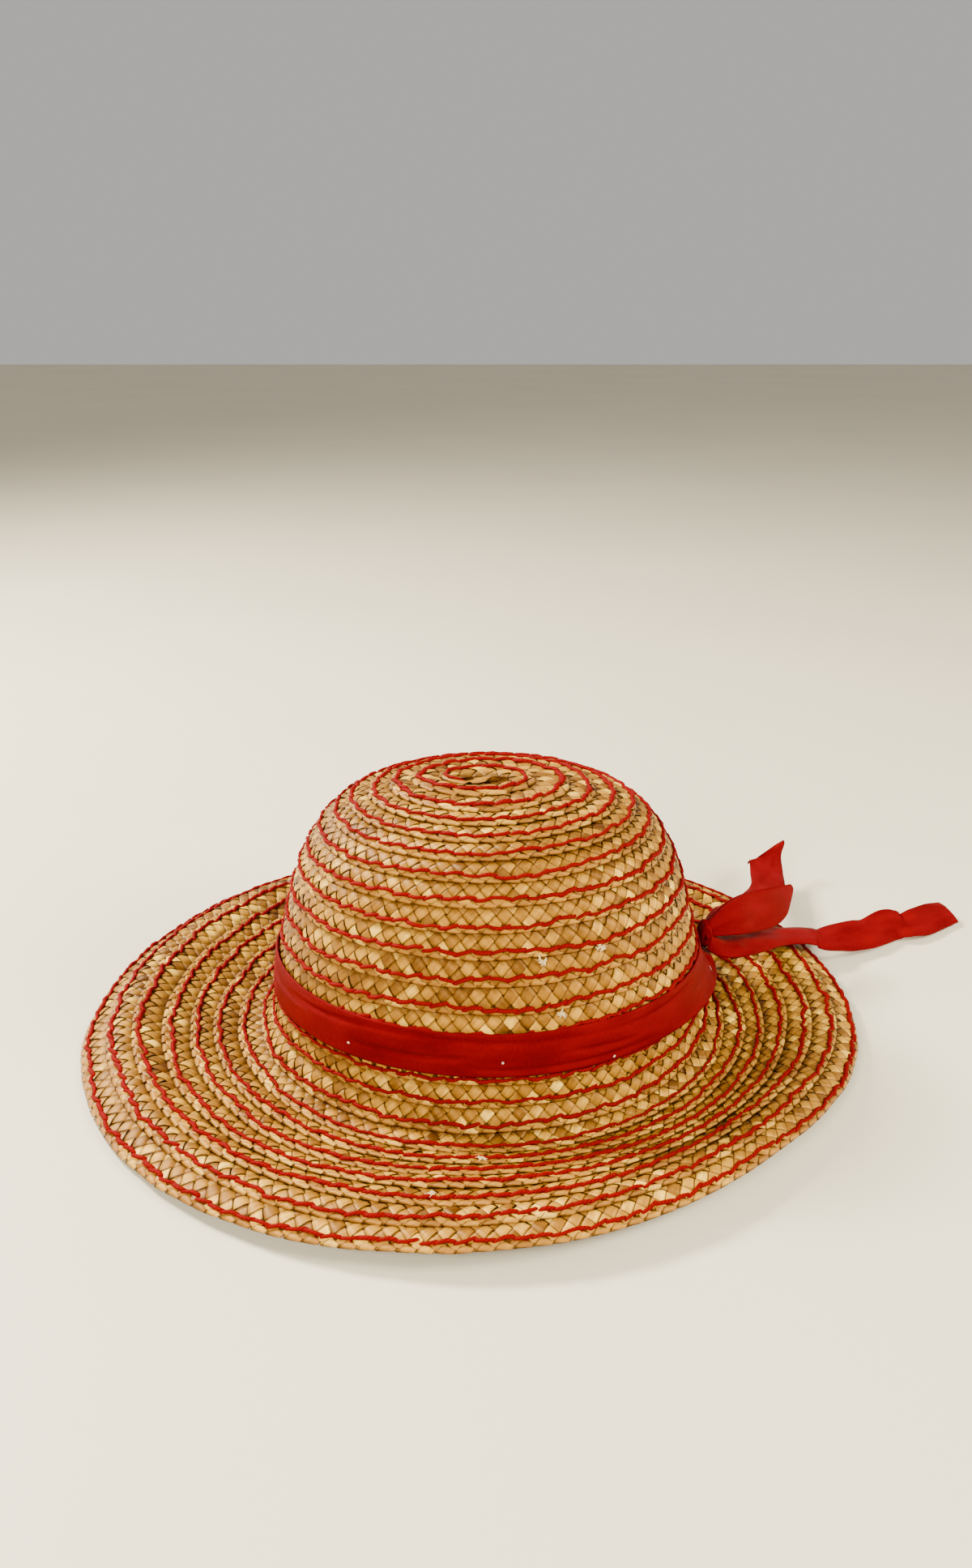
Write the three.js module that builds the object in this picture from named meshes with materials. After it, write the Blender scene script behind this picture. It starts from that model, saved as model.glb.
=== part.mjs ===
// Straw sun hat, millimetres, +Z up, the wearer's head goes in from below.
// One plaited braid winds outward from the tip of the crown to the rim, clockwise seen from above.
// Each row lies with its outer edge on top of the next row, so both faces of the wall are stepped.
// A ribbon goes round the foot of the crown and is tied at the right rear.
import * as THREE from "three";

// Crown
const crownWidth = 180; // side to side at its foot, over the straw
const crownDepth = 166; // front to back at its foot, over the straw
const crownHeight = 87.5; // from the foot line up to the tip
const crownFootHeight = 27; // the foot line above the surface that the hat lies on
const crownLean = 0.036; // rise of the front of the crown for each millimetre of depth

// Brim
const brimWidth = 83; // from the crown's foot to the rim, measured flat, at its broadest
const brimRelief = 12; // height of the brim's tallest wave over the surface

// Straw braid
const wall = 2; // thickness of one layer of braid
const rowStep = 1.1; // height of the step where a row lies on the next
const riserShare = 0.07; // share of a row's width that the step takes up
const rowSegments = 48; // facets in one turn of the braid
const footRow = 14.3; // number of rows from the tip to the foot line
const rimRow = 24.5; // number of rows from the tip to the braid's end
const startRow = 0.25; // where the braid starts, as rows from the tip
const seamRow = 14; // the row where crown and brim are parted, under the ribbon
const endTaperShare = 0.25; // share of a turn over which the braid's end runs out
const endStepShare = 0.12; // width left at the braid's end, as a share of a row
const frontAngle = 270; // the azimuth where whole rows are counted

// Ribbon
const ribbonWidth = 17;
const ribbonThick = 1;
const clearance = 0.3; // gap between pieces that touch on the real hat
const ribbonTopRow = 12.65; // where the band's upper edge lies, in rows from the tip
const ribbonSections = 4; // facets across the band
const bandFlare = 7; // how far the band's lower edge stands off the straw beside the knot
const bandFlareSpread = 60; // degrees of azimuth over which that dies away
const knotAngle = 9; // azimuth of the knot
const knotSize = { out: 5.5, along: 10, tall: 11 };
const loopReach = 48; // from the knot to the tip of the loop
const upperTailLength = 126; // from the knot to its end, in a straight line
const lowerTailLength = 154; // from the knot to its end, in a straight line

// Sections of the crown. row counts braid rows from the tip, out is a share of the half width, and
// drop is a share of the crown's height below the tip.
const crownSections = [
  { row: 0, out: 0.0, drop: 0.0 },
  { row: 1.63, out: 0.185, drop: 0.008 },
  { row: 2.8, out: 0.368, drop: 0.028 },
  { row: 4.7, out: 0.578, drop: 0.084 },
  { row: 5.95, out: 0.689, drop: 0.147 },
  { row: 7.19, out: 0.777, drop: 0.24 },
  { row: 8.39, out: 0.842, drop: 0.356 },
  { row: 9.64, out: 0.89, drop: 0.484 },
  { row: 11.54, out: 0.946, drop: 0.702 },
  { row: 12.97, out: 0.983, drop: 0.86 },
  { row: footRow, out: 1.0, drop: 1.0 },
];

// Stations across the brim. row counts braid rows from the tip, out is a share of the brim's reach there.
const brimStations = {
  fall: { row: 16.22, out: 0.035 },
  hollow: { row: 17.33, out: 0.13 },
  floor: { row: 18.73, out: 0.3 },
  rise: { row: 20.64, out: 0.545 },
  crest: { row: 22.53, out: 0.812 },
  rim: { row: 24, out: 1.0 },
};

// Waves of the brim. angle is the azimuth, reach is a share of brimWidth, fall is a share of the height of
// the foot line, and the other heights are shares of brimRelief, all of the upper face.
const brimWaves = [
  { angle: 0, reach: 0.86, fall: 0.56, hollow: 0.52, floor: 0.4, rise: 0.56, crest: 0.82, rim: 0.27 },
  { angle: 45, reach: 0.95, fall: 0.5, hollow: 0.52, floor: 0.48, rise: 0.72, crest: 0.84, rim: 0.32 },
  { angle: 90, reach: 0.99, fall: 0.5, hollow: 0.52, floor: 0.46, rise: 0.68, crest: 0.84, rim: 0.25 },
  { angle: 135, reach: 1.0, fall: 0.48, hollow: 0.5, floor: 0.46, rise: 0.72, crest: 0.9, rim: 0.29 },
  { angle: 180, reach: 0.97, fall: 0.46, hollow: 0.4, floor: 0.37, rise: 0.58, crest: 0.9, rim: 0.25 },
  { angle: 225, reach: 0.91, fall: 0.44, hollow: 0.38, floor: 0.36, rise: 0.5, crest: 0.82, rim: 0.42 },
  { angle: 270, reach: 0.825, fall: 0.42, hollow: 0.42, floor: 0.52, rise: 0.9, crest: 1.13, rim: 0.86 },
  { angle: 315, reach: 0.74, fall: 0.44, hollow: 0.4, floor: 0.38, rise: 0.72, crest: 1.25, rim: 0.95 },
];

// Ribbon ends. out, back and up are shares of the end's length from the knot, measured to the right, away
// from the front and upward, roll turns the ribbon about its own line from lying flat, width is a share.
const lowerTailPath = [
  { out: 0, back: 0, up: 0, roll: 55, width: 0.42 },
  { out: 0.037, back: 0.017, up: -0.029, roll: 34, width: 0.54 },
  { out: 0.108, back: 0.072, up: -0.052, roll: 16, width: 0.82 },
  { out: 0.296, back: 0.218, up: -0.102, roll: 1, width: 0.98 },
  { out: 0.393, back: 0.234, up: -0.127, roll: 8, width: 0.97 },
  { out: 0.446, back: 0.263, up: -0.136, roll: 20, width: 1.0 },
  { out: 0.569, back: 0.316, up: -0.145, roll: 24, width: 0.98 },
  { out: 0.635, back: 0.364, up: -0.145, roll: 33, width: 1.0 },
  { out: 0.703, back: 0.382, up: -0.156, roll: 15, width: 0.92 },
  { out: 0.754, back: 0.405, up: -0.155, roll: 26, width: 0.98 },
  { out: 0.818, back: 0.451, up: -0.159, roll: 22, width: 0.96 },
  { out: 0.861, back: 0.48, up: -0.164, roll: 16, width: 0.9 },
];
const upperTailPath = [
  { out: 0, back: 0, up: 0, roll: 45, width: 0.35 },
  { out: 0.05, back: 0.105, up: -0.007, roll: 30, width: 0.55 },
  { out: 0.131, back: 0.209, up: -0.043, roll: 14, width: 0.85 },
  { out: 0.215, back: 0.341, up: -0.087, roll: 5, width: 0.97 },
  { out: 0.288, back: 0.468, up: -0.113, roll: 2, width: 1.0 },
  { out: 0.368, back: 0.733, up: -0.137, roll: 2, width: 1.0 },
  { out: 0.4, back: 0.856, up: -0.133, roll: 10, width: 1.0 },
  { out: 0.422, back: 0.898, up: -0.118, roll: 20, width: 0.95 },
];
const loopPath = [
  { out: 0, back: 0, up: 0, roll: 60, width: 0.28 },
  { out: 0.203, back: 0.112, up: 0.04, roll: 62, width: 0.96 },
  { out: 0.405, back: 0.279, up: 0.015, roll: 62, width: 1.04 },
  { out: 0.611, back: 0.439, up: -0.023, roll: 61, width: 1.04 },
  { out: 0.794, back: 0.61, up: -0.065, roll: 60, width: 0.92 },
];
const loopGap = 2.4; // space between the two layers of the loop, at its middle
const loopSeat = ribbonThick / 2 + clearance / 2; // half the distance of the two layers at the knot

const straw = new THREE.MeshStandardMaterial({ color: 0xc9a15c, roughness: 0.6, metalness: 0 });
const redRibbon = new THREE.MeshStandardMaterial({ color: 0xb8060e, roughness: 0.75, metalness: 0 });

const degrees = THREE.MathUtils.degToRad;
const up = new THREE.Vector3(0, 0, 1);

// A smooth curve through values at uneven stations, by cubic pieces whose ends share their slope.
function through(stations, values, at) {
  const last = stations.length - 1;
  let i = 0;
  while (i < last - 1 && at > stations[i + 1]) i += 1;
  const slope = (k) => {
    const a = Math.max(k - 1, 0);
    const b = Math.min(k + 1, last);
    return (values[b] - values[a]) / (stations[b] - stations[a]);
  };
  const span = stations[i + 1] - stations[i];
  const s = (at - stations[i]) / span;
  const s2 = s * s;
  const s3 = s2 * s;
  const start = (2 * s3 - 3 * s2 + 1) * values[i] + (s3 - 2 * s2 + s) * span * slope(i);
  const end = (3 * s2 - 2 * s3) * values[i + 1] + (s3 - s2) * span * slope(i + 1);
  return start + end;
}

// One column of the brim's waves at an azimuth, smooth all the way round.
function wave(column, angle) {
  const count = brimWaves.length;
  const stepAngle = 360 / count;
  const place = (((angle % 360) + 360) % 360) / stepAngle;
  const i = Math.floor(place);
  const stations = [-1, 0, 1, 2];
  const values = stations.map((k) => brimWaves[(i + k + count) % count][column]);
  return through(stations, values, place - i);
}

const tipHeight = crownFootHeight + crownHeight;

function ellipse(angle) {
  const a = degrees(angle);
  return new THREE.Vector2((Math.cos(a) * crownWidth) / 2, (Math.sin(a) * crownDepth) / 2);
}

// The middle surface of the straw's upper face: a point for a row number and an azimuth.
function meridian(angle) {
  const foot = ellipse(angle);
  const footLean = -foot.y * crownLean;
  const stations = crownSections.map((s) => s.row);
  const outs = crownSections.map((s) => s.out * foot.length());
  const heights = crownSections.map((s) => tipHeight - s.drop * crownHeight + footLean * s.out);
  const footHeight = heights[heights.length - 1];
  const reach = wave("reach", angle) * brimWidth;
  for (const [name, station] of Object.entries(brimStations)) {
    const base = name === "fall" ? footHeight : brimRelief;
    stations.push(station.row);
    outs.push(foot.length() + station.out * reach);
    heights.push(wave(name, angle) * base);
  }
  return { stations, outs, heights, direction: foot.normalize() };
}

function surfacePoint(row, angle) {
  const m = meridian(angle);
  const out = through(m.stations, m.outs, row);
  const height = through(m.stations, m.heights, row);
  return new THREE.Vector3(m.direction.x * out, m.direction.y * out, height);
}

const probeRow = 0.05;
const probeAngle = 0.5;

// A point at a lift above the surface, along its outward normal.
function liftedPoint(row, angle, lift) {
  const here = surfacePoint(row, angle);
  const outward = surfacePoint(row + probeRow, angle).sub(surfacePoint(row - probeRow, angle));
  const round = surfacePoint(row, angle + probeAngle).sub(surfacePoint(row, angle - probeAngle));
  return here.addScaledVector(outward.cross(round).normalize(), lift);
}

// Lines of the braid. Line m is the outer edge of a row, at m facets along the spiral.
const lineRow = (m) => startRow + m / rowSegments;
const lineAngle = (m) => frontAngle - 360 * lineRow(m);
const lastLine = Math.round((rimRow - startRow) * rowSegments);
const seamLine = Math.round((seamRow - startRow) * rowSegments);

// The braid's end runs out: its outer edge draws in to the row before.
function edgeRow(m) {
  const row = lineRow(m);
  const taper = endTaperShare * rowSegments;
  const along = THREE.MathUtils.clamp((m - (lastLine - taper)) / taper, 0, 1);
  const narrow = along * along * (3 - 2 * along) * (1 - endStepShare - riserShare);
  return row - narrow;
}

const seamGapAngle = THREE.MathUtils.radToDeg(clearance / (crownDepth / 2));

// A closed mesh body from vertices and triangles that are added one by one.
class Body {
  constructor() {
    this.positions = [];
    this.triangles = [];
  }
  vertex(p) {
    this.positions.push(p.x, p.y, p.z);
    return this.positions.length / 3 - 1;
  }
  triangle(a, b, c) {
    this.triangles.push(a, b, c);
  }
  quad(a, b, c, d) {
    this.triangle(a, b, c);
    this.triangle(a, c, d);
  }
  mesh(name, material) {
    const geometry = new THREE.BufferGeometry();
    geometry.setAttribute("position", new THREE.Float32BufferAttribute(this.positions, 3));
    geometry.setIndex(this.triangles);
    geometry.computeVertexNormals();
    const mesh = new THREE.Mesh(geometry, material);
    mesh.name = name;
    return mesh;
  }
}

// A stretch of braid from one line to another, with both faces and its open edges closed.
// A stretch that starts at the tip is filled in there, and another has an edge at its start.
function braidBody(firstLine, endLine, startGap) {
  const body = new Body();
  const atTip = firstLine === 0;
  const faces = [0, -wall].map((depth) => {
    const edge = new Map();
    const foot = new Map();
    for (let m = firstLine; m <= endLine; m += 1) {
      const row = edgeRow(m);
      const atStart = m === firstLine || m === firstLine + rowSegments;
      const angle = lineAngle(m) - (atStart ? startGap : 0);
      const hasEdge = atTip || m >= firstLine + rowSegments;
      const hasFoot = m <= endLine - rowSegments;
      if (hasEdge) edge.set(m, body.vertex(liftedPoint(row, angle, rowStep + depth)));
      if (hasFoot) foot.set(m, body.vertex(liftedPoint(row + riserShare, angle, depth)));
    }
    return { edge, foot };
  });
  const [outer, inner] = faces;
  const side = (face, flip) => {
    const tri = (a, b, c) => (flip ? body.triangle(a, c, b) : body.triangle(a, b, c));
    const quad = (a, b, c, d) => {
      tri(a, b, c);
      tri(a, c, d);
    };
    for (let m = firstLine; m < endLine; m += 1) {
      const next = m + rowSegments;
      const hasRiser = face.edge.has(m) && face.foot.has(m + 1);
      if (hasRiser) quad(face.edge.get(m), face.foot.get(m), face.foot.get(m + 1), face.edge.get(m + 1));
      if (next < endLine) {
        quad(face.foot.get(m), face.edge.get(next), face.edge.get(next + 1), face.foot.get(m + 1));
      }
    }
    if (atTip) {
      for (let m = 1; m < rowSegments; m += 1) tri(face.edge.get(0), face.edge.get(m), face.edge.get(m + 1));
      tri(face.edge.get(0), face.edge.get(rowSegments), face.foot.get(0));
    }
  };
  side(outer, true);
  side(inner, false);
  // The rim of the stretch, walked with the body on one side.
  const loops = [outer, inner].map((face) => {
    const loop = [];
    if (atTip) {
      for (let m = endLine - rowSegments; m <= endLine; m += 1) loop.push(face.edge.get(m));
      loop.push(face.foot.get(endLine - rowSegments));
      return [loop];
    }
    const start = [];
    for (let m = firstLine; m <= firstLine + rowSegments; m += 1) start.push(face.foot.get(m));
    start.push(face.edge.get(firstLine + rowSegments));
    for (let m = endLine - rowSegments; m <= endLine; m += 1) loop.push(face.edge.get(m));
    loop.push(face.foot.get(endLine - rowSegments));
    return [loop, start.reverse()];
  });
  loops[0].forEach((outerLoop, k) => {
    const innerLoop = loops[1][k];
    const count = outerLoop.length;
    for (let i = 0; i < count; i += 1) {
      const j = (i + 1) % count;
      body.quad(outerLoop[i], outerLoop[j], innerLoop[j], innerLoop[i]);
    }
  });
  return body;
}

// A flat ribbon swept through stations, each with a point, a direction across it and a half width.
function stripBody(stations, thick) {
  const body = new Body();
  const rings = stations.map(({ point, across, half, normal }) => {
    const corner = (sideSign, faceSign) =>
      body.vertex(
        point
          .clone()
          .addScaledVector(across, sideSign * half)
          .addScaledVector(normal, (faceSign * thick) / 2),
      );
    return [corner(-1, -1), corner(1, -1), corner(1, 1), corner(-1, 1)];
  });
  const count = rings.length;
  for (let i = 0; i < count - 1; i += 1) {
    const a = rings[i];
    const b = rings[i + 1];
    for (let k = 0; k < 4; k += 1) body.quad(a[k], b[k], b[(k + 1) % 4], a[(k + 1) % 4]);
  }
  const end = rings[count - 1];
  body.quad(rings[0][0], rings[0][1], rings[0][2], rings[0][3]);
  body.quad(end[3], end[2], end[1], end[0]);
  return body;
}

const ribbonLift = rowStep + clearance;
const knotRow = ribbonTopRow + 0.9;
const knotFlareShare = 0.36;

// The knot pulls the band's lower edge straight out from the crown.
function bandFlareAt(angle) {
  const away = Math.abs(((((angle - knotAngle) % 360) + 540) % 360) - 180);
  const share = away < bandFlareSpread ? Math.cos((degrees(90) * away) / bandFlareSpread) ** 2 : 0;
  const a = degrees(angle);
  return new THREE.Vector3(Math.cos(a), Math.sin(a), 0).multiplyScalar(bandFlare * share);
}

// The band is a ring of straight facets that follows the crown's foot.
function ribbonBand() {
  const body = new Body();
  const rings = [];
  const height = surfacePoint(ribbonTopRow, frontAngle).z - surfacePoint(footRow, frontAngle).z;
  const rowsPerMillimetre = (footRow - ribbonTopRow) / height;
  const bottomRow = ribbonTopRow + ribbonWidth * rowsPerMillimetre;
  for (let m = 0; m < rowSegments; m += 1) {
    const angle = (360 * m) / rowSegments + frontAngle;
    const ring = [];
    const inside = [];
    for (let k = 0; k <= ribbonSections; k += 1) {
      const row = ribbonTopRow + ((bottomRow - ribbonTopRow) * k) / ribbonSections;
      const flare = bandFlareAt(angle).multiplyScalar((k / ribbonSections) ** 3);
      ring.push(body.vertex(liftedPoint(row, angle, ribbonLift + ribbonThick).add(flare)));
      inside.push(body.vertex(liftedPoint(row, angle, ribbonLift).add(flare)));
    }
    rings.push([...ring, ...inside.reverse()]);
  }
  rings.forEach((a, m) => {
    const b = rings[(m + 1) % rings.length];
    a.forEach((unused, k) => {
      const next = (k + 1) % a.length;
      body.quad(a[k], a[next], b[next], b[k]);
    });
  });
  return body;
}

const knotCentre = liftedPoint(knotRow, knotAngle, ribbonLift + ribbonThick + clearance + knotSize.out / 2);
knotCentre.add(bandFlareAt(knotAngle).multiplyScalar(knotFlareShare));

// The knot is a rounded bundle wrapped round the crossing of the ribbon's ends.
function ribbonKnot() {
  const geometry = new THREE.SphereGeometry(0.5, 10, 8);
  geometry.deleteAttribute("normal");
  geometry.deleteAttribute("uv");
  return geometry;
}

const knot = ribbonKnot();
knot.scale(knotSize.out, knotSize.along, knotSize.tall);
const knotMesh = new THREE.Mesh(knot, redRibbon);
knotMesh.name = "ribbon_knot";
knotMesh.rotation.z = degrees(knotAngle);
knotMesh.position.copy(knotCentre);

// Stations of a ribbon end along its table, smoothed between the rows.
function ribbonStations(path, length, start, pieces) {
  const steps = path.map((unused, i) => i);
  const last = path.length - 1;
  const column = (name, at) => through(steps, path.map((p) => p[name]), at);
  const pointAt = (at) =>
    new THREE.Vector3(column("out", at), column("back", at), column("up", at))
      .multiplyScalar(length)
      .add(start);
  const stations = [];
  for (let i = 0; i <= last * pieces; i += 1) {
    const at = i / pieces;
    const before = pointAt(Math.max(at - 1 / pieces, 0));
    const after = pointAt(Math.min(at + 1 / pieces, last));
    const along = after.sub(before).normalize();
    const flat = new THREE.Vector3().crossVectors(along, up).normalize();
    const across = flat.applyAxisAngle(along, degrees(column("roll", at)));
    const normal = new THREE.Vector3().crossVectors(across, along).normalize();
    const half = (column("width", at) * ribbonWidth) / 2;
    stations.push({ point: pointAt(at), across, half, normal });
  }
  return stations;
}

// The ends leave the knot's outer side, one above the other, with a gap between them.
function endStart(sideways, lift, room) {
  const off = (2 * sideways / knotSize.along) ** 2 + (2 * lift / knotSize.tall) ** 2;
  const out = (knotSize.out / 2) * Math.sqrt(Math.max(0, 1 - off)) + room;
  return knotCentre.clone().add(new THREE.Vector3(out, sideways, lift));
}

const smoothPieces = 2;
const endGap = 4 * clearance;
const loopRoom = 5 * clearance;
const lowerTail = stripBody(
  ribbonStations(lowerTailPath, lowerTailLength, endStart(-1.5, -3.2, endGap), smoothPieces),
  ribbonThick,
);
const upperTail = stripBody(
  ribbonStations(upperTailPath, upperTailLength, endStart(3.4, 0.2, endGap), smoothPieces),
  ribbonThick,
);

// The loop goes out along its path, turns at its tip and comes back beneath.
function ribbonLoop() {
  const outbound = ribbonStations(loopPath, loopReach, endStart(0.5, 2.6, loopRoom), smoothPieces);
  const last = outbound.length - 1;
  const layer = (sign) => (s, i) => {
    const open = (loopGap / 2) * Math.sqrt(Math.sin((Math.PI * (i + 1)) / (last + 1.5))) + loopSeat;
    const point = s.point.clone().addScaledVector(s.normal, sign * open);
    return { ...s, point, normal: s.normal.clone().multiplyScalar(sign) };
  };
  const tip = outbound[last];
  const forward = new THREE.Vector3().crossVectors(tip.normal, tip.across);
  const turn = { ...tip, point: tip.point.clone().addScaledVector(forward, ribbonThick), normal: forward };
  return stripBody([...outbound.map(layer(1)), turn, ...outbound.map(layer(-1)).reverse()], ribbonThick);
}

const hat = new THREE.Group();
hat.add(
  braidBody(0, seamLine, 0).mesh("crown", straw),
  braidBody(seamLine - rowSegments, lastLine, seamGapAngle).mesh("brim", straw),
  ribbonBand().mesh("ribbon_band", redRibbon),
  lowerTail.mesh("ribbon_tail_lower", redRibbon),
  upperTail.mesh("ribbon_tail_upper", redRibbon),
  ribbonLoop().mesh("ribbon_loop", redRibbon),
  knotMesh,
);

// The origin is under the middle of the hat's whole extent, on the surface that it lies on.
const extent = new THREE.Box3().setFromObject(hat, true);
const middle = extent.getCenter(new THREE.Vector3());
hat.position.set(-middle.x, -middle.y, -extent.min.z);

const part = new THREE.Group();
part.add(hat);
export default part;
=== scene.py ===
# Straw sun hat: the looks. Lengths are in millimetres in the tables and in metres in the meshes.
import math

import bpy
import numpy as np
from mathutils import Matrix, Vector


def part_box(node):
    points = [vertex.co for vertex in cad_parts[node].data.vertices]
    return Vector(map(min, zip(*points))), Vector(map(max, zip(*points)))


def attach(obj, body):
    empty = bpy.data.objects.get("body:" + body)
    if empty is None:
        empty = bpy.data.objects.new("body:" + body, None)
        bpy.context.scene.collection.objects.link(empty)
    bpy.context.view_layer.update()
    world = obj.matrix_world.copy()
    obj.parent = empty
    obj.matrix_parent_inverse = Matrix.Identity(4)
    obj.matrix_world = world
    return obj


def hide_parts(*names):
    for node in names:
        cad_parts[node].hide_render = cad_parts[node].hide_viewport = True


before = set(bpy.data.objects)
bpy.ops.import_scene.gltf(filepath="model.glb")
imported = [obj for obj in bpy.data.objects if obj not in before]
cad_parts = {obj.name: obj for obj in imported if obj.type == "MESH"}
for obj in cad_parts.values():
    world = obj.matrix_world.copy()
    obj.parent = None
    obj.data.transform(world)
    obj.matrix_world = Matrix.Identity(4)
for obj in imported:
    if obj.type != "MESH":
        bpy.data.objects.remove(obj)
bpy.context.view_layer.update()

MM = 0.001

# The hat's own surface, with the sizes of its CAD solids.
CROWN_WIDTH = 180.0
CROWN_DEPTH = 166.0
CROWN_HEIGHT = 87.5
CROWN_FOOT = 27.0
CROWN_LEAN = 0.036
BRIM_WIDTH = 83.0
BRIM_RELIEF = 12.0
FOOT_ROW = 14.3
SEAM_ROW = 14.0
END_ROW = 24.5
FRONT = 270.0
RIBBON_WIDTH = 17.0
RIBBON_TOP_ROW = 12.65
RIBBON_LIFT = 1.4
BAND_FLARE = 7.0
BAND_FLARE_SPREAD = 60.0
KNOT_ANGLE = 9.0

# Sections of the crown: row, share of the half width, share of the height below the tip.
CROWN_SECTIONS = np.array([
    [0, 0.0, 0.0], [1.63, 0.185, 0.008], [2.8, 0.368, 0.028], [4.7, 0.578, 0.084], [5.95, 0.689, 0.147],
    [7.19, 0.777, 0.24], [8.39, 0.842, 0.356], [9.64, 0.89, 0.484], [11.54, 0.946, 0.702],
    [12.97, 0.983, 0.86], [FOOT_ROW, 1.0, 1.0],
])
# Stations across the brim: row, share of the reach.
BRIM_STATIONS = np.array([
    [16.22, 0.035], [17.33, 0.13], [18.73, 0.3], [20.64, 0.545], [22.53, 0.812], [24, 1.0]])
# Waves of the brim every 45 degrees from the right: reach, then the heights at the six stations.
BRIM_WAVES = np.array([
    [0.86, 0.56, 0.52, 0.4, 0.56, 0.82, 0.27],
    [0.95, 0.5, 0.52, 0.48, 0.72, 0.84, 0.32],
    [0.99, 0.5, 0.52, 0.46, 0.68, 0.84, 0.25],
    [1.0, 0.48, 0.5, 0.46, 0.72, 0.9, 0.29],
    [0.97, 0.46, 0.4, 0.37, 0.58, 0.9, 0.25],
    [0.91, 0.44, 0.38, 0.36, 0.5, 0.82, 0.42],
    [0.825, 0.42, 0.42, 0.52, 0.9, 1.13, 0.86],
    [0.74, 0.44, 0.4, 0.38, 0.72, 1.25, 0.95],
])

# The crown's axis on the floor of the hat's own surface, in the shared frame.
AXIS = np.array([-31.19, -5.37, -0.93])

# The camera's place from the crown's axis, its pitch below level in degrees and its lens.
CAMERA_PLACE = (-1.0, -453.9, 293.0)
CAMERA_PITCH = 21.88
CAMERA_LENS = 27.53
camera_data = bpy.data.cameras.new("camera")
camera_data.sensor_fit = "VERTICAL"
camera_data.sensor_height = 36.0
camera_data.lens = CAMERA_LENS
camera_data.dof.use_dof = False
camera = bpy.data.objects.new("camera", camera_data)
camera.location = Vector([float(v) for v in (AXIS + np.array(CAMERA_PLACE)) * MM])
camera.rotation_euler = (math.radians(90 - CAMERA_PITCH), 0.0, 0.0)
bpy.context.collection.objects.link(camera)
bpy.context.scene.camera = camera


def through(stations, values, at):
    """A smooth curve through values at uneven stations: values (n, k), at (m,)."""
    last = len(stations) - 1
    i = np.clip(np.searchsorted(stations, at, side="left") - 1, 0, last - 1)
    low = np.maximum(np.arange(last + 1) - 1, 0)
    high = np.minimum(np.arange(last + 1) + 1, last)
    slope = (values[high] - values[low]) / (stations[high] - stations[low])[:, None]
    span = (stations[i + 1] - stations[i])[:, None]
    s = (at - stations[i])[:, None] / span
    s2 = s * s
    s3 = s2 * s
    start = (2 * s3 - 3 * s2 + 1) * values[i] + (s3 - 2 * s2 + s) * span * slope[i]
    end = (3 * s2 - 2 * s3) * values[i + 1] + (s3 - s2) * span * slope[i + 1]
    return start + end


def wave_columns(angles):
    """All columns of the brim's waves at azimuths, smooth all the way round."""
    place = (angles % 360.0) / 45.0
    i = np.floor(place).astype(int)
    s = (place - i)[:, None]
    v = [BRIM_WAVES[(i + k) % 8] for k in (-1, 0, 1, 2)]
    s2 = s * s
    s3 = s2 * s
    start = (2 * s3 - 3 * s2 + 1) * v[1] + (s3 - 2 * s2 + s) * (v[2] - v[0]) / 2
    end = (3 * s2 - 2 * s3) * v[2] + (s3 - s2) * (v[3] - v[1]) / 2
    return start + end


ROW_GRID = np.arange(0, 25.21, 0.05)
ANGLE_GRID = np.arange(0, 360.0, 1.0)


def surface_grid():
    """Points and outward normals of the hat's upper face, on a grid of rows and azimuths."""
    a = np.radians(ANGLE_GRID)
    foot = np.stack([np.cos(a) * CROWN_WIDTH / 2, np.sin(a) * CROWN_DEPTH / 2], 1)
    radius = np.linalg.norm(foot, axis=1)
    direction = foot / radius[:, None]
    lean = -foot[:, 1] * CROWN_LEAN
    waves = wave_columns(ANGLE_GRID)
    rows = np.concatenate([CROWN_SECTIONS[:, 0], BRIM_STATIONS[:, 0]])
    outs = np.concatenate([
        CROWN_SECTIONS[:, 1:2] * radius, radius + BRIM_STATIONS[:, 1:2] * waves[:, 0] * BRIM_WIDTH])
    crown_z = CROWN_FOOT + CROWN_HEIGHT * (1 - CROWN_SECTIONS[:, 2:3]) + lean * CROWN_SECTIONS[:, 1:2]
    brim_z = waves[:, 1:].T * BRIM_RELIEF
    brim_z[0] = waves[:, 1] * crown_z[-1]
    heights = np.concatenate([crown_z, brim_z])
    out = through(rows, outs, ROW_GRID)
    height = through(rows, heights, ROW_GRID)
    points = np.stack([direction[:, 0] * out, direction[:, 1] * out, height], 2)
    outward = np.gradient(points, axis=0)
    turn = np.roll(points, -1, axis=1) - np.roll(points, 1, axis=1)
    normals = np.cross(outward, turn)
    length = np.linalg.norm(normals, axis=2, keepdims=True)
    normals = np.where(length > 1e-9, normals / np.maximum(length, 1e-9), np.array([0.0, 0.0, 1.0]))
    return points, normals


POINTS, NORMALS = surface_grid()


def on_surface(row, angle, lift):
    """World points in metres at rows, azimuths and lifts above the hat's surface."""
    r = np.clip(np.asarray(row, float) / 0.05, 0, len(ROW_GRID) - 1.001)
    a = np.asarray(angle, float) % 360.0
    i = r.astype(int)
    j = a.astype(int)
    fr = (r - i)[..., None]
    fa = (a - j)[..., None]
    j1 = (j + 1) % 360

    def blend(grid):
        near = grid[i, j] * (1 - fa) + grid[i, j1] * fa
        far = grid[i + 1, j] * (1 - fa) + grid[i + 1, j1] * fa
        return near * (1 - fr) + far * fr

    normal = blend(NORMALS)
    normal = normal / np.maximum(np.linalg.norm(normal, axis=-1, keepdims=True), 1e-9)
    return (blend(POINTS) + normal * np.asarray(lift, float)[..., None] + AXIS) * MM


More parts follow.
